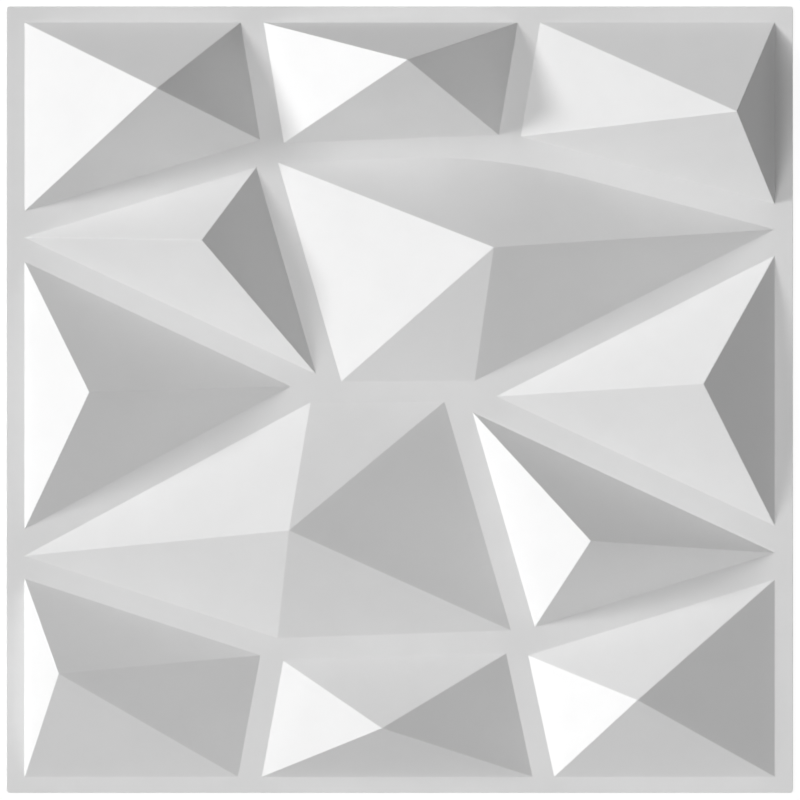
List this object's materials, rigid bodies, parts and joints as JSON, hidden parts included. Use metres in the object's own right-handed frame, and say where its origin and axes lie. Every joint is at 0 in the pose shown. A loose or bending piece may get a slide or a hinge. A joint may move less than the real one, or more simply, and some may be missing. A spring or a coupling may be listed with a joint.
{
  "type": "3d wall panel tile",
  "caption": "Square wall panel tile formed from one thin white plastic sheet: low faceted pyramids between flat channels, a flat rim, and a hollow back that is glued to a wall.",
  "frame": {"origin": "middle of the square back face, which lies on z = 0", "axes": "+Z out of the decorated front, +X to the right and +Y up as the panel hangs on a wall"},
  "size_m": [0.5, 0.5, 0.047],
  "materials": {
    "white_pvc": "fine matte white"
  },
  "bodies": {
    "root": {"wall_panel": "white_pvc"}
  },
  "joints": []
}
